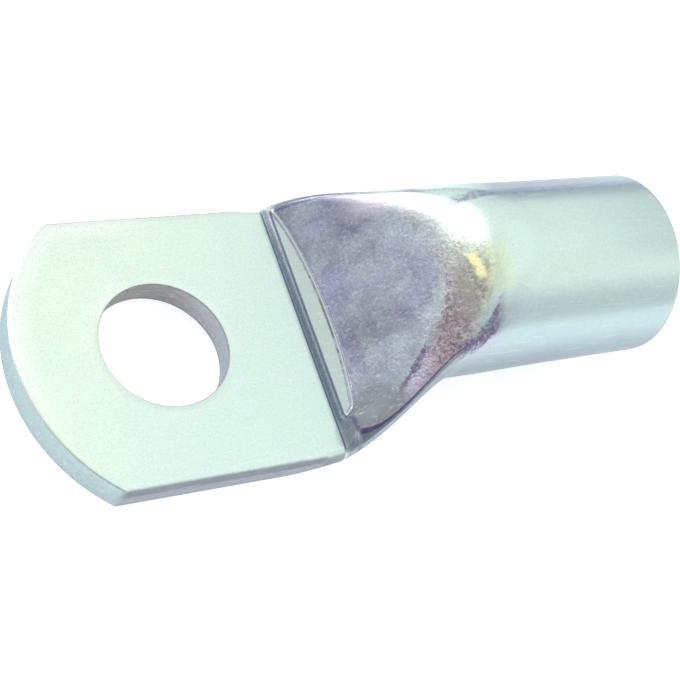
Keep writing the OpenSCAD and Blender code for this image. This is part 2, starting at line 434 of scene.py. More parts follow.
    def round_the_hole(self, x, y, radius):
        """Bends the square rows and lanes round the stud hole into circles."""
        inner, outer = self.block, -self.SQUARE_X
        square = max(abs(x), abs(y))
        if square >= outer or square == 0:
            return x, y
        circled = radius * square / inner / math.hypot(x, y)
        scale = mix(circled, 1.0, ease(clamp01((square - inner) / (outer - inner))))
        return x * scale, y * scale

    # The rest of the tube

    def body_point(self, x, lane):
        e = math.cos(lane.turn)
        z = self.top(x, e) if math.sin(lane.turn) > 1e-9 else self.underside(x, e)
        return Vector((x, self.half_width(x) * e, z))

    def round_point(self, x, radius, lane):
        z = self.s.barrel_z + radius * math.sin(lane.turn)
        return Vector((x, radius * math.cos(lane.turn), z))

    def cavity_point(self, x, lane):
        """The hollow under the ramp, from the round bore to a closed slot."""
        wide = clamp01((x - self.cavity_start) / (self.barrel_start - self.cavity_start))
        ahead, behind = self.top(x + self.SLOPE_STEP, 0), self.top(x - self.SLOPE_STEP, 0)
        slope = (ahead - behind) / (2 * self.SLOPE_STEP)
        roof = self.top(x, 0) - self.wall * math.sqrt(1 + slope**2)
        floor = self.lift(x) + self.wall
        middle = (roof + floor) / 2
        power = mix(self.SLOT_POWER, 2, wide)
        narrowing = self.CAVITY_NARROWING * (1 - wide)
        half = mix(self.fold_half, self.s.barrel_r, self.flare(x)) - self.wall - narrowing
        e = math.cos(lane.turn)
        bulge = max(0.0, 1 - abs(e) ** power) ** (1 / power)
        edge = roof if math.sin(lane.turn) > 0 else floor
        return Vector((x, half * e, mix(middle, edge, bulge)))


def lug_lanes(form):
    """Lanes round the tube: over the top, down one side, back underneath and up the other."""
    edges = [1 - step * MM / form.palm_half for step in EDGE_STEPS]
    count = form.s.lanes
    inner = [math.cos(math.pi * i / count) for i in range(1, count)]
    inner = [a for a in inner if abs(a) < edges[-1] - 0.005]
    across = edges + inner + [-a for a in reversed(edges)]
    top = [Lane("top", a, math.acos(a * math.cos(SHEET_EDGE)), 0) for a in across]
    bottom = [Lane("bottom", a, -math.acos(a), 0) for a in across]
    shares = [i / SIDE_STEPS for i in range(1, SIDE_STEPS)]
    far = [Lane("side", s, math.pi - SHEET_EDGE * (1 - s), -1) for s in shares]
    near = [Lane("side", s, SHEET_EDGE * (1 - s), 1) for s in reversed(shares)]
    return top + far + list(reversed(bottom)) + near


# How far apart the rows are on each part of the lug, in millimetres
PITCH = {"tip": 0.5, "palm": 0.2, "step": 0.05, "foot": 0.06, "ramp": 0.11}
PITCH.update(barrel=0.4, bore=0.8, cavity=0.7)
# Rows close to the fold, in millimetres, and the stretch of the step's rows
BEFORE_FOLD = (0.2, 0.1, 0.04)
AFTER_FOLD = (0, 0.02, 0.06)
STEP_START = 0.1 * MM
STEP_MARGIN = 0.15 * MM
# From the fold to where the finer rows along the ramp's foot end
FOOT_REACH = 2.4 * MM


def spread(start, end, part, skip=0):
    """Evenly spaced values from start up to, but without, end, less the first few."""
    count = max(1, round((end - start) / (PITCH[part] * MM)))
    return [mix(start, end, i / count) for i in range(skip, count)]


def outside_rows(form):
    """Places of the rows along the palm and along the rest of the tube."""
    tip = [-form.s.tip_reach + step * MM for step in EDGE_STEPS]
    tip += spread(tip[-1], form.SQUARE_X, "tip", skip=1)
    middle = sorted(form.palm_half * lane.across for lane in form.lanes if lane.sheet == "top")
    middle = [y for y in middle if abs(y) < form.block + 0.001 * MM]
    before = spread(form.SQUARE_X, middle[0], "palm")
    after = spread(middle[-1], form.heel_start, "palm", skip=1)
    heel = spread(form.heel_start, form.fold - BEFORE_FOLD[0] * MM, "palm")
    near_fold = [form.fold - gap * MM for gap in BEFORE_FOLD]
    palm = tip + before + middle + after + heel + near_fold
    step_end = form.fold + form.step_run + STEP_MARGIN
    foot_end = form.fold + FOOT_REACH
    step = [form.fold + gap * MM for gap in AFTER_FOLD]
    step += spread(form.fold + STEP_START, step_end, "step")
    foot = spread(step_end, foot_end, "foot")
    ramp = spread(foot_end, form.barrel_start, "ramp")
    barrel = spread(form.barrel_start, form.s.mouth_reach - form.s.rim_r, "barrel")
    return palm, step + foot + ramp + barrel


# Angles, in degrees, of the points on the rim's round
RIM_TURNS = range(0, 91, 15)
# A point just inside the mouth, in millimetres: how far in and how much wider than the bore
CHAMFER_EDGE = (0.04, 0.29)
# From the mouth to the first row of the bore
BORE_START = 0.4 * MM


def rim_profile(form):
    """Places and radii from the outside of the mouth, over its rim and into the bore."""
    s = form.s
    outer = []
    for turn in RIM_TURNS:
        a = math.radians(turn)
        back, down = s.rim_r * (1 - math.sin(a)), s.rim_r * (1 - math.cos(a))
        outer.append((s.mouth_reach - back, s.barrel_r - down))
    back, wider = CHAMFER_EDGE
    inner = [
        (s.mouth_reach, s.bore_r + s.mouth_chamfer),
        (s.mouth_reach - back * MM, s.bore_r + wider * MM),
        (s.mouth_reach - s.mouth_chamfer, s.bore_r),
    ]
    rows = spread(form.barrel_start, s.mouth_reach - BORE_START, "bore")
    return outer + inner + [(x, s.bore_r) for x in reversed(rows)]


# -------- making the mesh


def finished_mesh(name, bm):
    mesh = bpy.data.meshes.new(name)
    bm.to_mesh(mesh)
    bm.free()
    return mesh


def place_sheet(bm, rows, columns):
    """A grid of faces whose points the given functions place, row by row."""
    made = bmesh.ops.create_grid(bm, x_segments=columns - 1, y_segments=len(rows) - 1, size=1)
    for i, vert in enumerate(made["verts"]):
        vert.co = rows[i // columns](i % columns)


def add_skin(bm, form, palm, body):
    """Outside of the tube, over the rim and down the bore to the closed end of the cavity."""
    loop = form.lanes + form.lanes[:1]
    rows = [lambda i, x=x: form.palm_point(x, loop[i]) for x in palm]
    rows += [lambda i, x=x: form.body_point(x, loop[i]) for x in body]
    rows += [lambda i, x=x, r=r: form.round_point(x, r, loop[i]) for x, r in rim_profile(form)]
    cavity = spread(form.cavity_start, form.barrel_start, "cavity")
    rows += [lambda i, x=x: form.cavity_point(x, loop[i]) for x in reversed(cavity)]
    last = cavity[0] - form.CAVITY_GAP
    level = form.lift(last) + form.wall + form.CAVITY_GAP / 2
    edge = form.SLOT_SHARE * max(form.cavity_point(cavity[0], lane).y for lane in loop)

    def close(i):
        """The walls meet in a line, each point of one on a point of the other."""
        across = loop[i].side if loop[i].sheet == "side" else loop[i].across
        return Vector((last, edge * across, level))

    rows.append(close)
    place_sheet(bm, rows, len(loop))


def add_tip_face(bm, form):
    """Cut face at the tip of the palm."""
    across = [lane for lane in form.lanes if lane.sheet == "top"]
    under = [lane for lane in reversed(form.lanes) if lane.sheet == "bottom"]
    tip = -form.s.tip_reach

    def place(share, i):
        if i in (0, len(across) - 1) and 0 < share < 1:
            return form.palm_point(tip, Lane("side", share, 0, 1 if i == 0 else -1))
        point = form.palm_point(tip, across[i]).lerp(form.palm_point(tip, under[i]), share)
        inward = Vector((form.tip_centre - point.x, -point.y, 0)).normalized()
        return point + inward * form.cut_relief(share) * (0 < share < 1)

    rows = [lambda i, share=k / SIDE_STEPS: place(share, i) for k in range(SIDE_STEPS + 1)]
    place_sheet(bm, rows, len(across))


# Points down the stud hole's wall: millimetres outside its radius, with millimetres below the
# palm's top, and then with a share of the palm's thickness
HOLE_EDGE = ((0.03, 0.07), (0.0, 0.12))
HOLE_WALL = ((0.0, 0.75), (0.0, 0.46), (0.03, 0.4), (0.09, 0.2))


def pierce_hole(bm, form):
    """Opens the square of faces over the hole on both sides and builds the hole's wall."""

    def over_hole(face):
        middle = face.calc_center_median()
        radius = form.hole_top_r if middle.z > form.edge_r else form.hole_low_r
        return math.hypot(middle.x, middle.y) < radius and middle.z < 2 * form.s.palm_t

    bmesh.ops.delete(bm, geom=[face for face in bm.faces if over_hole(face)], context="FACES")
    open_edges = [edge for edge in bm.edges if edge.is_boundary]
    top_loop = [edge for edge in open_edges if edge.verts[0].co.z > form.edge_r]
    low_loop = [edge for edge in open_edges if edge.verts[0].co.z < form.edge_r]
    r, t = form.s.stud_r, form.s.palm_t
    profile = [(r + out * MM, t - down * MM) for out, down in HOLE_EDGE]
    profile += [(r + out * MM, t * share) for out, share in HOLE_WALL]
    profile.append((r + form.s.break_out, form.HOLE_BREAK))
    for radius, height in profile:
        made = bmesh.ops.extrude_edge_only(bm, edges=top_loop)["geom"]
        for vert in (item for item in made if isinstance(item, bmesh.types.BMVert)):
            scale = radius / math.hypot(vert.co.x, vert.co.y)
            vert.co = Vector((vert.co.x * scale, vert.co.y * scale, height))
        edges = [item for item in made if isinstance(item, bmesh.types.BMEdge)]
        top_loop = [edge for edge in edges if edge.is_boundary]
    bmesh.ops.bridge_loops(bm, edges=top_loop + low_loop)


# What each point carries for the finish, in millimetres: heights of the tube over the die, of
# the step's slope and the ramp over the flat between them, and the distance to a punched edge
SURFACE_FIELDS = ("ridge", "step", "foot", "edge")
NOT_PRESSED = (-9.0, -9.0, -9.0)
FAR_FROM_EDGE = 9.0
ON_SURFACE = 0.02 * MM


def surface_values(form, x, y, z):
    e = max(-1.0, min(1.0, y / form.half_width(x)))
    if x < form.fold:
        return *NOT_PRESSED, form.edge_distance(x, y) / MM
    if x == form.fold or abs(z - form.top(x, e)) >= ON_SURFACE:
        return *NOT_PRESSED, FAR_FROM_EDGE
    ridge = form.ridge_gap(x, e)
    step = form.step_rise(x) - form.beyond_step(x, e)
    foot = form.ramp_face(x, e) - form.step_flat(x)
    return ridge / MM, step / MM, foot / MM, FAR_FROM_EDGE


def mark_surface(mesh, form):
    rows = [surface_values(form, *vert.co) for vert in mesh.vertices]
    for name, values in zip(SURFACE_FIELDS, zip(*rows)):
        mesh.attributes.new(name, "FLOAT", "POINT").data.foreach_set("value", values)


# Points closer than this are one point
MERGE = 0.002 * MM
# Cut faces are those on the trimmed palm whose normals rise less than this
CUT_RISE = 0.6
SHARP_ANGLE = math.radians(38)


def build_lug(sizes):
    form = LugForm(sizes)
    palm, body = outside_rows(form)
    bm = bmesh.new()
    add_skin(bm, form, palm, body)
    add_tip_face(bm, form)
    bmesh.ops.remove_doubles(bm, verts=bm.verts, dist=MERGE)
    pierce_hole(bm, form)
    bmesh.ops.recalc_face_normals(bm, faces=bm.faces)
    for face in bm.faces:
        face.smooth = True
        middle = face.calc_center_median()
        face.material_index = int(middle.x < form.trim_end and abs(face.normal.z) < CUT_RISE)
    for edge in bm.edges:
        edge.smooth = len(edge.link_faces) == 2 and edge.calc_face_angle() < SHARP_ANGLE
    mesh = finished_mesh("pressed_tube", bm)
    mark_surface(mesh, form)
    return mesh


# -------- finishes

WHITE = (1, 1, 1)
# Dark and bright levels of the grain, between which it dims and brightens a colour
GRAIN_LEVELS = (0.3, 0.7)


class Net:
    """Adds nodes to a tree and links them up. Places are in millimetres."""

    def __init__(self, tree):
        self.tree = tree

    def feed(self, socket, value):
        if isinstance(value, bpy.types.NodeSocket):
            self.tree.links.new(value, socket)
        elif isinstance(socket, bpy.types.NodeSocketColor) and len(value) == 3:
            socket.default_value = (*value, 1)
        else:
            socket.default_value = value

    def node(self, kind, inputs=None, **settings):
        made = self.tree.nodes.new("ShaderNode" + kind)
        for key, value in settings.items():
            setattr(made, key, value)
        for key, value in (inputs or {}).items():
            self.feed(made.inputs[key], value)
        return made

    def math(self, operation, *values):
        return self.node("Math", dict(enumerate(values)), operation=operation).outputs[0]

    def add(self, *values):
        return self.joined("ADD", values)

    def less(self, value, taken):
        return self.math("SUBTRACT", value, taken)

    def either(self, *masks):
        """The strongest of some masks."""
        return self.joined("MAXIMUM", masks)

    def both(self, *masks):
        """Masks multiplied together."""
        return self.joined("MULTIPLY", masks)

    def joined(self, operation, values):
        result = values[0]
        for value in values[1:]:
            result = self.math(operation, result, value)
        return result

    def rise(self, value, low, high):
        """Smoothly from 0 at low to 1 at high; low may be the larger."""
        flip = low > high
        inputs = {"Value": value, "From Min": min(low, high), "From Max": max(low, high)}
        inputs.update({"To Min": 1 if flip else 0, "To Max": 0 if flip else 1})
        return self.node("MapRange", inputs, interpolation_type="SMOOTHSTEP").outputs["Result"]

    def fade(self, value, start, full, last=None, end=None):
        """0 at start to 1 at full and, if they are given, 1 at last to 0 at end."""
        mask = self.rise(value, start, full)
        return mask if end is None else self.both(mask, self.rise(value, end, last))

    def remap(self, value, source, target):
        """A value carried in a straight line from one range to another."""
        inputs = dict(enumerate((value, *source, *target)))
        return self.node("MapRange", inputs).outputs[0]

    def blend(self, share, under, over):
        made = self.node("Mix", data_type="RGBA")
        self.feed(made.inputs[0], share)
        self.feed(made.inputs[6], under)
        self.feed(made.inputs[7], over)
        return made.outputs[2]

    def scaled(self, colour, value):
        """A colour made lighter or darker by a value."""
        made = self.node("VectorMath", {0: colour}, operation="SCALE")
        self.feed(made.inputs["Scale"], value)
        return made.outputs[0]

    def place(self):
        """Object coordinates in millimetres."""
        found = self.node("TexCoord").outputs["Object"]
        return self.turned(found, scale=(1 / MM,) * 3)

    def vector(self, operation, *values):
        return self.node("VectorMath", dict(enumerate(values)), operation=operation).outputs

    def axes(self, place):
        return self.node("SeparateXYZ", {0: place}).outputs

    def turned(self, place, degrees=(0, 0, 0), scale=(1, 1, 1)):
        turn = [math.radians(value) for value in degrees]
        return self.node("Mapping", {"Vector": place, "Rotation": turn, "Scale": scale}).outputs[0]

    def noise(self, place, scale, detail, roughness):
        inputs = {"Vector": place, "Scale": scale, "Detail": detail, "Roughness": roughness}
        return self.node("TexNoise", inputs).outputs[0]

    def attribute(self, name):
        return self.node("Attribute", attribute_name=name).outputs["Fac"]


def effect(name, outputs, fill):
    """A node group that takes a place, made the first time it is asked for."""
    found = bpy.data.node_groups.get(name)
    if found:
        return found
    group = bpy.data.node_groups.new(name, "ShaderNodeTree")
    group.interface.new_socket("Place", in_out="INPUT", socket_type="NodeSocketVector")
    for label in outputs:
        group.interface.new_socket(label, in_out="OUTPUT", socket_type="NodeSocketFloat")
    net = Net(group)
    source = group.nodes.new("NodeGroupInput")
    sink = group.nodes.new("NodeGroupOutput")
    for label, value in fill(net, source.outputs["Place"]).items():
        net.feed(sink.inputs[label], value)
    return group


def use_effect(net, group, place):
    made = net.node("Group", node_tree=group)
    net.feed(made.inputs["Place"], place)
    return made.outputs


def cloudy_metal():
    """Patches, grain and specks of a plated surface."""

    def fill(net, place):
        patches = net.rise(net.noise(place, 0.35, detail=4, roughness=0.6), 0.38, 0.66)
        grain = net.noise(place, 5, detail=4, roughness=0.7)
        fine = net.noise(place, 14, detail=2, roughness=0.6)
        level = net.add(net.both(grain, 0.6), net.both(fine, 0.4))
        specks = net.rise(net.noise(place, 7, detail=2, roughness=0.5), 0.66, 0.74)
        return {"Patches": patches, "Grain": level, "Specks": specks}

    return effect("cloudy_metal", ("Patches", "Grain", "Specks"), fill)


# How the fine scratches run, in degrees, with a shift of the noise for each
SCRATCH_TURNS = ((28, 0), (-38, 7.3), (81, 15.1))
SCRATCH_STRETCH = (0.45, 7, 3)


def fine_scratches():
    """Short fine scratches in three directions."""

    def fill(net, place):
        found = 0
        for turn, shift in SCRATCH_TURNS:
            along = net.turned(place, (0, 0, turn), SCRATCH_STRETCH)
            moved = net.vector("ADD", along, (shift,) * 3)[0]
            noise = net.noise(moved, 1, detail=1.5, roughness=0.4)
            found = net.either(found, net.rise(noise, 0.66, 0.72))
        return {"Lines": found}

    return effect("fine_scratches", ("Lines",), fill)


def new_material(name, **constants):
    """A material with constants on its shader, named as the sockets are."""
    material = bpy.data.materials.new(name)
    material.use_nodes = True
    shader = material.node_tree.nodes["Principled BSDF"]
    for socket, value in constants.items():
        shader.inputs[socket].default_value = value
    return material, Net(material.node_tree), shader


METAL = {"Metallic": 1, "Specular Tint": (0.75, 0.8, 0.84, 1)}


def finish_metal(net, shader, tint, roughness, grain, depth_mm):
    """Links the colour and the roughness, and a relief from the grain."""
    net.feed(shader.inputs["Base Color"], tint)
    net.feed(shader.inputs["Roughness"], roughness)
    relief = net.node("Bump", {"Height": grain, "Strength": 1, "Distance": depth_mm * MM})
    net.feed(shader.inputs["Normal"], relief.outputs[0])


class Plating:
    """The plated surface: its fields, in millimetres, and its colour, painted on in layers.

    A field named with two numbers makes a mask that fades in between them; with four numbers
    it fades in and out again.
    """

    def __init__(self, net, colours):
        self.net, self.tint = net, colours.tin
        self.place = net.place()
        self.cloud = use_effect(net, cloudy_metal(), self.place)
        self.lines = use_effect(net, fine_scratches(), self.place)["Lines"]
        self.fields = {name: net.attribute(name) for name in SURFACE_FIELDS}
        self.fields.update(zip("xyz", net.axes(self.place)))
        shift = net.noise(self.place, 2.2, detail=4, roughness=0.7)
        self.wobble = net.both(net.less(shift, 0.5), 0.9)
        mottle = net.noise(self.place, 3.4, detail=4, roughness=0.75)
        self.texture = net.rise(mottle, 0.40, 0.58)
        self.fields["texture"] = self.texture
        self.fields["rough_ridge"] = self.ragged("ridge", 1)
        x, y = self.fields["x"], self.fields["y"]
        self.fields["across"] = net.add(net.less(x, net.both(y, 0.7)), net.both(self.wobble, 4))
        self.near = self.mask(y=(1.6, -1.2))
        self.barrel = self.mask(x=(15, 18.5))
        self.upper = self.mask(self.barrel, z=(8.5, 9.5))
        self.on_ramp = self.mask(foot=(0, 0.06), ridge=(-0.05, 0.2))
        self.in_fold = self.mask(x=(9.58, 9.62))

    def ragged(self, field, amount):
        """A field shifted to and fro by the noise."""
        return self.net.add(self.fields[field], self.net.both(self.wobble, amount))

    def mask(self, *masks, **spans):
        """Masks multiplied together, with one more for each field that is named."""
        fades = [self.net.fade(self.fields[name], *span) for name, span in spans.items()]
        return self.net.both(*masks, *fades)

    def paint(self, colour, *masks, share=None, **spans):
        """Lays a colour over the others where the masks are, at a share of its strength."""
        cover = self.mask(*masks, **spans)
        if share is not None:
            cover = self.net.both(cover, share)
        self.tint = self.net.blend(cover, self.tint, colour)


def plating_and_painted_shade(skin, net, colours):
    """Plain plating with painted shade: cooler and darker towards the fold, and darker low on the
    barrel, on its far side, underneath and towards the mouth.
    """
    # Painted shade: the palm grows cooler and darker towards the fold and the near side, and the
    # rest of the tube takes the cooler colour
    skin.paint(colours.tin_cool, across=(-9, 8))
    skin.paint(colours.tin_cool, skin.cloud["Patches"], share=0.3)
    # Painted shade: darker low on the barrel's sides and below its middle, on the tube's lower
    # sides, on the barrel's far side, underneath, along the far edge of its top, a little on the
    # near side of its top and towards the mouth
    side = skin.ragged("y", 0.5)
    low = net.either(net.rise(side, -3.2, -4.6), net.rise(side, 1.4, 3.6))
    skin.paint(colours.under, skin.barrel, low, share=0.75)
    skin.paint(colours.under, skin.barrel, z=(10.3, 9))
    skin.paint(colours.shade, x=(9.8, 10.5), z=(9.5, 5.5))
    skin.paint(colours.shade, skin.barrel, y=(1.6, 4.4))
    skin.paint(colours.under, z=(1.1, 0.4))
    skin.paint(net.scaled(colours.shade, 0.8), skin.upper, y=(3.4, 4.4), share=0.6)
    skin.paint(colours.under, skin.upper, y=(-2.8, -1.4), share=0.12)
    skin.paint(colours.under, x=(24, 34), y=(-3.5, -1.5), share=0.55)


def worn_edges_and_painted_light(skin, net, colours):
    """Painted highlight along the edges near the tip, a worn line along the punched edges that is
    painted shade on the near side, dust, and painted shade under the lip beside the fold.
    """
    # Painted highlight: whiter near the punched edges towards the tip
    skin.paint(WHITE, across=(-3, -9.5), edge=(1.8, 0.2), share=0.5)
    # A worn line along the punched edges, dark on the near side as painted shade
    rim = net.rise(skin.ragged("edge", 0.12), 0.14, 0.02)
    rim_wear_and_shade = net.blend(skin.mask(y=(-3, -8)), colours.moss, colours.fold)
    skin.paint(rim_wear_and_shade, rim, x=(8.6, 8.2), share=0.6)
    dust = net.rise(net.noise(skin.place, 6, detail=3, roughness=0.6), 0.55, 0.66)
    skin.paint(colours.moss, dust, across=(4, -7), x=(9, 8), share=0.22)
    # Painted shade under the lip, where the cut edges end beside the fold
    skin.paint(net.scaled(colours.cut, 0.7), x=(8.3, 8.5, 9.55, 9.75), z=(0.05, 0.35, 1.9, 2.1))


def burnished_ramp_and_painted_light(skin, net, colours):
    """The ramp, burnished grey and violet with blotches and darkened as painted shade, paler where
    it ends at the top as painted light, and with a white painted highlight on its far side.
    """
    place = skin.place
    violet = net.rise(net.noise(place, 0.4, detail=5, roughness=0.65), 0.44, 0.60)
    tone = net.blend(violet, colours.ramp, colours.ramp_violet)
    # Painted light: paler towards the ramp's top
    tone = net.blend(net.rise(skin.ragged("z", 3), 8.2, 11.2), tone, colours.ramp_pale)
    blotches = net.noise(net.turned(place, scale=(1, 1, 0.7)), 0.3, detail=6, roughness=0.62)
    tone = net.scaled(tone, net.remap(blotches, (0.36, 0.64), (0.72, 1.24)))
    tone = net.scaled(tone, net.remap(skin.cloud["Grain"], GRAIN_LEVELS, (0.7, 1.25)))
    # Painted highlight: white on the far side of the ramp, next to its ridge
    bright = net.rise(skin.ragged("y", 3.5), -0.4, 1.8)
    bright = skin.mask(bright, rough_ridge=(2.7, 1.5), x=(12.4, 14.4))
    skin.paint(net.blend(net.both(bright, 0.9), tone, WHITE), skin.on_ramp)
    end = skin.mask(x=(16.4, 17.4, 18.4, 22), rough_ridge=(1.4, 0.3), y=(-0.5, 1))
    skin.paint(colours.tin_cool, end, share=0.95)
    patch = net.fade(skin.ragged("y", 2), -3.8, -2.8, -0.9, 0.1)
    skin.paint(colours.bloom, skin.upper, patch, x=(17.4, 18.3, 19.2, 20.1), share=0.5)


def tarnish_and_painted_highlight(skin, net, colours):
    """Brown specks where the near end of the shoulder begins, and a yellow painted highlight above
    them.
    """
    tarnish = skin.mask(skin.near, rough_ridge=(0.2, 0.9, 2.3, 3), x=(14.3, 15.2), y=(0.5, -2))
    skin.paint(net.blend(skin.texture, colours.brown, colours.moss), tarnish, share=0.7)
    # Painted highlight: a yellow band along the shoulder, above the brown specks
    slant = net.both(net.add(skin.fields["y"], 1.1), 0.4)
    skin.fields["streak"] = net.less(skin.fields["ridge"], slant)
    streak = net.fade(skin.ragged("streak", 0.5), 0.9, 1.25, 1.5, 1.85)
    skin.paint(colours.gold_highlight, streak, y=(-2.6, -1.9, -0.7, 0), x=(16.2, 16.8))
    return tarnish


def scuffed_ridge_and_painted_shade(skin, net, colours):
    """Scuffs along the near ridge, between two dark lines of painted shade that part towards the
    shoulder, with painted shade below the ridge and a painted dark violet reflection beside the
    shoulder.
    """
    near = skin.near
    x, ridge = skin.fields["x"], skin.fields["ridge"]
    parting = net.both(skin.mask(x=(15.2, 17.4)), 1.1)
    skin.fields["outer"] = net.add(ridge, net.add(0.1, parting))
    skin.fields["outer"] = skin.ragged("outer", 0.25)
    inset = net.either(net.both(net.less(x, 10.6), 0.55), 0.35)
    skin.fields["inner"] = net.less(skin.fields["rough_ridge"], inset)
    scuffed = skin.mask(near, outer=(-0.05, 0.1), inner=(0.1, -0.3), x=(9.6, 10.2, 17, 18.6))
    specks = net.blend(skin.mask(x=(13.5, 15.5)), colours.ramp_violet, colours.brown)
    skin.paint(net.blend(skin.texture, colours.scuff, specks), scuffed, x=(18, 15.5), share=0.85)
    # Painted shade on the near side, below the ridge
    skin.paint(colours.shade, near, outer=(-0.1, -0.3), x=(9.6, 9.9, 15, 17))
    # Painted shade: dark lines along both edges of the scuffs and, towards the shoulder, along a
    # crease
    inner_line = skin.mask(inner=(-0.32, -0.12, 0.12, 0.32), x=(15, 14.3), texture=(-0.7, 0.7))
    outer_line = skin.mask(outer=(-0.2, -0.12, 0.08, 0.16), texture=(-0.9, 0.5))
    crease = net.fade(skin.ragged("outer", 1.6), -1.35, -0.95, 0.3, 0.7)
    crease = skin.mask(crease, x=(15.2, 16.6), texture=(-0.6, 0.8))
    outer_line = skin.mask(net.either(outer_line, crease), x=(19, 18))
    # Painted reflection: a dark violet band beside the near ridge, towards the shoulder
    painted_dark_reflection = skin.mask(near, outer=(-3.2, -2.4, -0.9, -0.1), x=(15.8, 17, 18.4, 21))
    skin.paint(colours.ramp_violet, painted_dark_reflection, share=0.4)
    lines = net.either(inner_line, outer_line)
    skin.paint(colours.ridge_shade_line, near, lines, x=(9.6, 10), share=0.85)
    return scuffed


def far_ridge(skin, net, colours):
    """A dark line of painted shade along the ramp's far ridge, and dots that go on from it along
    the barrel.
    """
    # Painted shade along the far ridge
    skin.paint(colours.fold, y=(0.5, 2), ridge=(0.1, 0.2, 0.32, 0.42), x=(16, 14), share=0.8)
    dots = net.fade(skin.ragged("y", 0.6), 2.9, 3.2, 3.6, 3.9)
    dots = skin.mask(dots, x=(15, 18, 18, 50), z=(10.7, 11.1), texture=(-0.7, 1))
    skin.paint(colours.fold, dots, share=0.75)


# Centre of the painted shade round the pinched corner at the near end of the ramp's foot, in
# millimetres
PINCHED_CORNER = (11.3, -7.7, 4.3)


def painted_shade_in_fold(skin, net, colours):
    """Painted shade in the fold: dark lines in its crease, on the step's face and edge and at the
    ramp's foot, a darker step face, crescent and pinched corner, and a cream strip along the
    ramp's foot.
    """
    in_fold = skin.in_fold
    # Painted shade: the step's face darker, with a dark band along it
    face = skin.mask(in_fold, step=(0.02, -0.1), ridge=(-0.5, -0.1))
    skin.paint(colours.step_face_shade, face, net.add(net.both(skin.texture, 0.3), 0.7))
    band = net.fade(skin.ragged("step", 0.14), -0.6, -0.46, -0.34, -0.2)
    skin.paint(colours.fold, face, band, share=0.65)
    # Painted shade: darker round the pinched corner at the ramp's foot
    skin.fields["corner"] = net.vector("DISTANCE", skin.place, PINCHED_CORNER)["Value"]
    painted_corner_shade = net.both(skin.on_ramp, net.rise(skin.ragged("corner", 1.5), 3.2, 1.7))
    skin.paint(net.scaled(colours.ramp, 0.62), painted_corner_shade, share=0.9)
    # Painted shade: the crescent flat darker than the plating
    skin.paint(colours.crescent, in_fold, foot=(0.02, -0.04), step=(0, 0.06))
    skin.paint(colours.cream, foot=(-0.19, -0.14, -0.04, 0.01), step=(0, 0.1), share=0.9)
    # Painted shade: dark lines at the ramp's foot, in the fold's crease, at the step's edge and
    # along the foot's ledge
    dim_foot = skin.mask(foot=(-0.05, 0, 0.14, 0.19), ridge=(-0.1, 0.1), step=(0, 0.1))
    skin.paint(colours.fold, dim_foot, share=0.8)
    at_fold = skin.mask(x=(9.57, 9.6, 9.66, 9.69))
    at_step = skin.mask(in_fold, step=(-0.17, -0.1, 0.02, 0.09))
    at_foot = skin.mask(in_fold, foot=(-0.33, -0.3, -0.17, -0.14), step=(0, 0.2))
    creases = net.either(at_fold, at_step, net.both(at_foot, 0.75))
    skin.paint(colours.fold, creases, ridge=(-0.1, 0.1))
    return net.either(painted_corner_shade, creases)


def plated_tin(colours):
    """Tin plating, with the marks that pressing, punching and handling leave on it, and painted
    shade, highlights and reflections.
    """
    material, net, shader = new_material("tin_plate", **METAL)
    skin = Plating(net, colours)
    for layers in (plating_and_painted_shade, worn_edges_and_painted_light, burnished_ramp_and_painted_light):
        layers(skin, net, colours)
    tarnish = tarnish_and_painted_highlight(skin, net, colours)
    scuffed = scuffed_ridge_and_painted_shade(skin, net, colours)
    far_ridge(skin, net, colours)
    rough_spots = painted_shade_in_fold(skin, net, colours)
    grain = skin.cloud["Grain"]
    skin.tint = net.scaled(skin.tint, net.remap(grain, GRAIN_LEVELS, (0.9, 1.07)))
    skin.paint(colours.cut, skin.cloud["Specks"], share=0.15)
    skin.paint(colours.scratch, skin.lines, net.add(net.both(skin.on_ramp, 0.2), 0.1))
    roughness = net.add(0.26, net.both(skin.on_ramp, 0.1), net.both(tarnish, 0.12))
    roughness = net.add(roughness, net.both(rough_spots, 0.3))
    pitted = net.add(net.both(net.add(tarnish, scuffed), 1.5), net.both(skin.on_ramp, 0.5))
    relief = net.add(grain, net.both(skin.texture, pitted))
    finish_metal(net, shader, skin.tint, roughness, relief, 0.009)
    return material


def punched_metal(colours):
    """Cut faces: burnished and dark above, broken and paler below, with the tip's face lighter as
    painted light and the hole's wall darker towards the tip as painted shade.
    """
    material, net, shader = new_material("punched_edge", **METAL)
    place = net.place()
    grain = use_effect(net, cloudy_metal(), place)["Grain"]
    lines = use_effect(net, fine_scratches(), net.turned(place, (90, 0, 0)))["Lines"]
    x, _, z = net.axes(place)
    shift = net.noise(place, 1.5, detail=4, roughness=0.7)
    level = net.add(z, net.both(net.less(shift, 0.5), 0.8))
    tint = net.blend(net.rise(level, 0.9, 1.3), colours.cut, colours.cut_dark)
    # Painted light: the tip's face lighter than the side faces
    tint = net.blend(net.rise(x, -5, -5.6), tint, colours.tip)
    # Painted shade: the hole's wall darker towards the tip
    from_hole = net.vector("LENGTH", net.turned(place, scale=(1, 1, 0)))["Value"]
    wall = net.blend(net.rise(x, 1.5, 4), colours.hole, colours.cut)
    tint = net.blend(net.rise(from_hole, 5.2, 4.8), tint, wall)
    tint = net.scaled(tint, net.remap(grain, GRAIN_LEVELS, (0.8, 1.2)))
    tint = net.blend(net.both(lines, 0.3), tint, colours.tin_cool)
    finish_metal(net, shader, tint, 0.42, grain, 0.015)
    return material


# -------- the operators


def add_object(name, mesh):
    made = bpy.data.objects.new(name, mesh)
    bpy.context.scene.collection.objects.link(made)
    return made


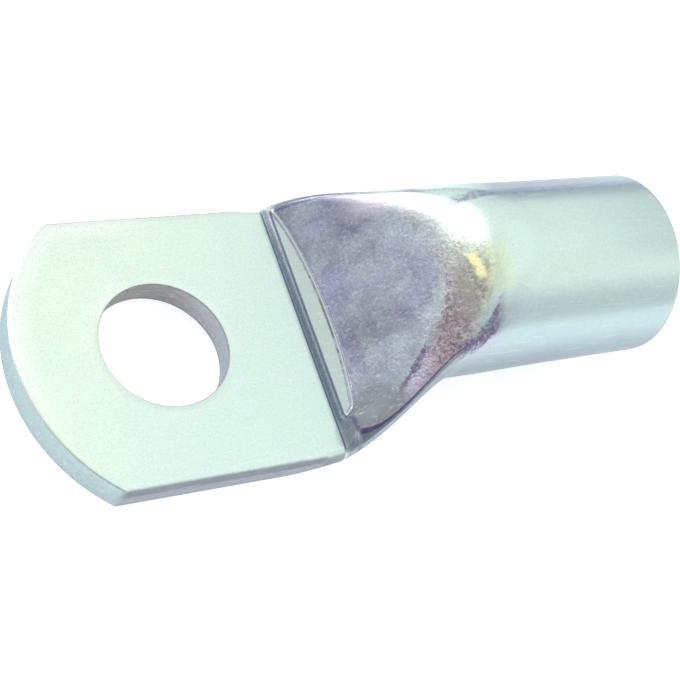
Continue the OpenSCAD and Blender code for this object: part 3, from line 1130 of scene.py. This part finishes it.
class LUG_OT_pressed_tube(Operator):
    """Makes the pressed tube and gives it its tin plating"""

    bl_idname = "lug.pressed_tube"
    bl_label = "Pressed tube"

    def execute(self, context):
        lug = add_object("pressed_tube", build_lug(context.scene.lug_sizes))
        lug.data.materials.append(plated_tin(context.scene.lug_colours))
        lug.data.materials.append(punched_metal(context.scene.lug_colours))
        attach(lug, "root")
        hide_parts(NODE)
        return {"FINISHED"}


class LUG_OT_studio(Operator):
    """Sets up the floor, the light and the camera"""

    bl_idname = "lug.studio"
    bl_label = "Studio"

    def execute(self, context):
        add_floor()
        add_lights()
        add_world()
        add_camera()
        context.scene.view_settings.view_transform = "Standard"
        return {"FINISHED"}


FLOOR = {
    "Base Color": (0.9, 0.9, 0.9, 1),
    "Roughness": 0.8,
    "Specular IOR Level": 0,
    "Emission Color": (1, 1, 1, 1),
}
FLOOR_GLOW = 0.6
# The floor lies a little lower than the palm, so that the two faces don't coincide
FLOOR_GAP = 0.02 * MM


def add_floor():
    bm = bmesh.new()
    bmesh.ops.create_grid(bm, x_segments=1, y_segments=1, size=0.6)
    floor = add_object("floor", finished_mesh("floor", bm))
    floor.location.z = -FLOOR_GAP
    material, net, shader = new_material("pale_floor", **FLOOR)
    path = net.node("LightPath").outputs
    rays = [path[f"Is {kind} Ray"] for kind in ("Camera", "Glossy", "Transmission")]
    net.feed(shader.inputs["Emission Strength"], net.both(net.either(*rays), FLOOR_GLOW))
    floor.data.materials.append(material)


# Name, direction, size in metres, watts and colour: a soft lamp on the far side and a broad
# weak one overhead
LAMPS = (
    ("key_lamp", (-0.42, 0.66, 0.62), 0.2, 0.5, (1, 1, 1)),
    ("top_lamp", (0.3, 0.1, 0.95), 0.4, 0.05, (0.97, 0.98, 1)),
)
LAMP_DISTANCE = 0.45


def add_lights():
    for name, towards, size, watts, tint in LAMPS:
        lamp = bpy.data.lights.new(name, "AREA")
        lamp.shape = "DISK"
        lamp.size = size
        lamp.energy = watts
        lamp.color = tint
        lit = add_object(name, lamp)
        lit.location = Vector(towards) * LAMP_DISTANCE
        lit.rotation_euler = Vector(towards).to_track_quat("Z", "Y").to_euler()


# Where the surroundings are brightest, and their colours: behind the camera, low on the far
# side, and as the camera sees them
BRIGHT_SIDE = Vector((0.75, 0.35, 0.55))
DIM_SKY = (0.40, 0.42, 0.50)
DARK_GAP = (0.16, 0.18, 0.26)
BACKDROP = (0.94, 0.95, 0.96)


def add_world():
    world = bpy.data.worlds.new("studio")
    bpy.context.scene.world = world
    world.use_nodes = True
    net = Net(world.node_tree)
    background = world.node_tree.nodes["Background"]
    towards = net.node("TexCoord").outputs["Generated"]
    facing = net.vector("DOT_PRODUCT", towards, BRIGHT_SIDE.normalized())["Value"]
    sky = net.blend(net.rise(facing, -0.45, 0.6), DIM_SKY, WHITE)
    _, y, z = net.axes(towards)
    gap = net.both(net.rise(z, 0.16, 0.05), net.rise(y, 0.1, 0.5))
    sky = net.blend(net.both(gap, 0.7), sky, DARK_GAP)
    sky = net.blend(net.node("LightPath").outputs["Is Camera Ray"], sky, BACKDROP)
    net.feed(background.inputs["Color"], sky)
    background.inputs["Strength"].default_value = 1


# Where the camera looks, in metres, how it is turned and how far back it stands
CAMERA_TARGET = Vector((12.13, -1.24, 2.2)) * MM
CAMERA_TURN = Euler([math.radians(turn) for turn in (31.044, -24.753, -21.024)])
CAMERA_DISTANCE = 94.63 * MM
CAMERA_LENS = 76.75


def add_camera():
    data = bpy.data.cameras.new("camera")
    data.lens = CAMERA_LENS
    data.sensor_width = 36
    data.clip_start = 0.005
    camera = add_object("camera", data)
    camera.rotation_euler = CAMERA_TURN
    camera.location = CAMERA_TARGET + CAMERA_TURN.to_matrix() @ Vector((0, 0, CAMERA_DISTANCE))
    bpy.context.scene.camera = camera


class LUG_PT_panel(Panel):
    """Lists the steps in the sidebar"""

    bl_label = "Cable lug"
    bl_idname = "LUG_PT_panel"
    bl_space_type = "VIEW_3D"
    bl_region_type = "UI"
    bl_category = "Cable lug"

    def draw(self, context):
        for step in STEPS:
            self.layout.operator(step.bl_idname)


STEPS = (LUG_OT_pressed_tube, LUG_OT_studio)
CLASSES = (LugSizes, FinishColours) + STEPS + (LUG_PT_panel,)


def register():
    for cls in CLASSES:
        bpy.utils.register_class(cls)
    bpy.types.Scene.lug_sizes = PointerProperty(type=LugSizes)
    bpy.types.Scene.lug_colours = PointerProperty(type=FinishColours)


def unregister():
    del bpy.types.Scene.lug_colours
    del bpy.types.Scene.lug_sizes
    for cls in reversed(CLASSES):
        bpy.utils.unregister_class(cls)


def main():
    register()
    bpy.ops.lug.pressed_tube()
    bpy.ops.lug.studio()


if __name__ == "__main__":
    main()
